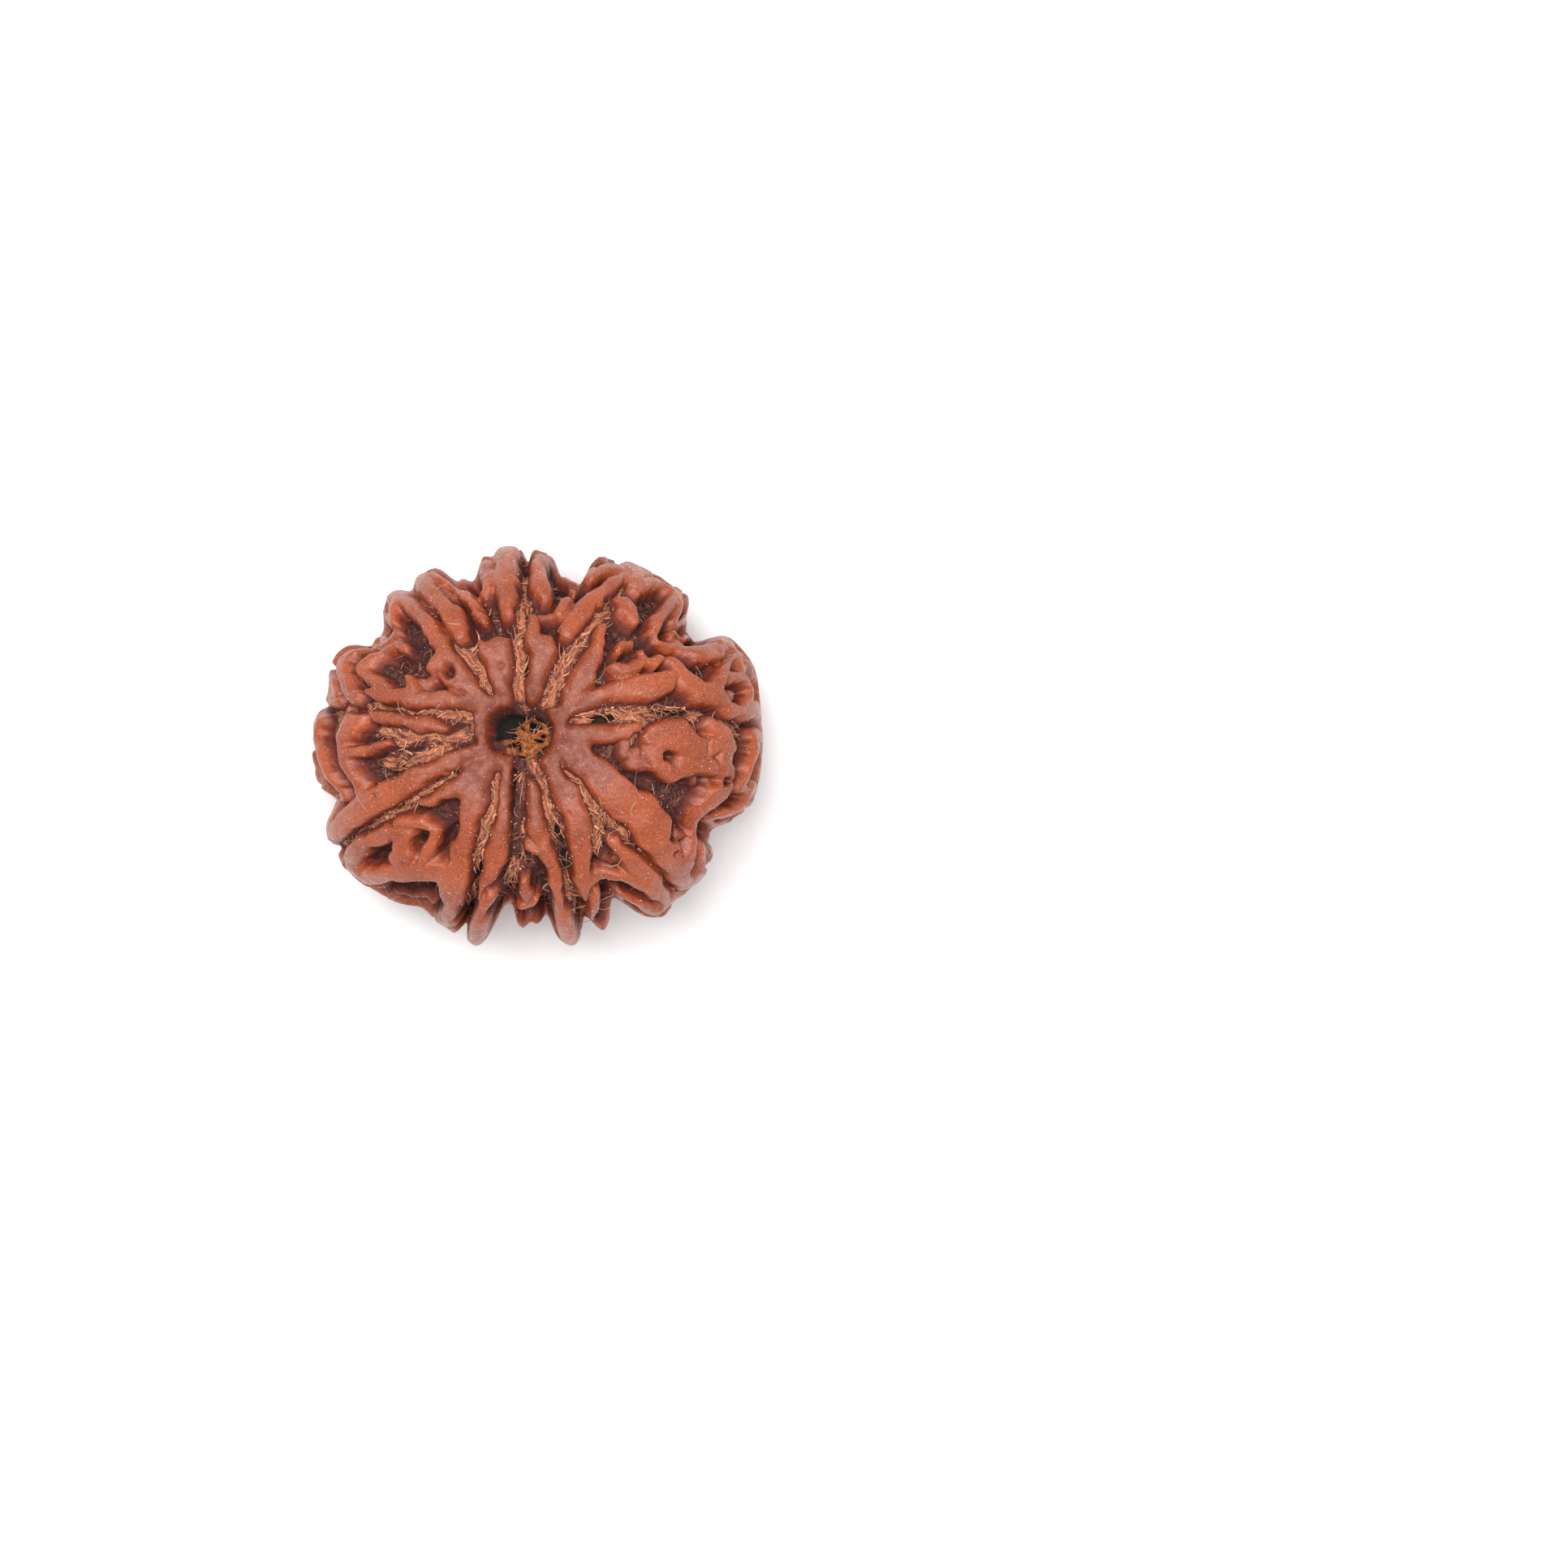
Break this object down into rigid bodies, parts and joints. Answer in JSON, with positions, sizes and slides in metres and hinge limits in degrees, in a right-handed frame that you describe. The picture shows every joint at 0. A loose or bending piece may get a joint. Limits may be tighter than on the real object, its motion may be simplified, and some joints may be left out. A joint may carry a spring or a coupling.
{
  "type": "rudraksha seed",
  "caption": "Rounded, slightly flattened rudraksha seed with fibrous clefts from pole to pole, smooth knobbly ridges and pits, and a fibrous hole at its upper pole.",
  "frame": {"origin": "centre of the bounding box's underside, where the seed rests on the flats of its lowest ridges", "axes": "+Z along the seed's own axis from its lower pole to the pole with the larger hole; +X along its longest width"},
  "size_m": [0.027, 0.024, 0.0184],
  "materials": {
    "seed_shell": "waxy satin shell, reddish brown on the ridges, with dull tan fibre and purplish brown in the clefts and pits"
  },
  "bodies": {
    "root": {"seed": "seed_shell"}
  },
  "joints": []
}
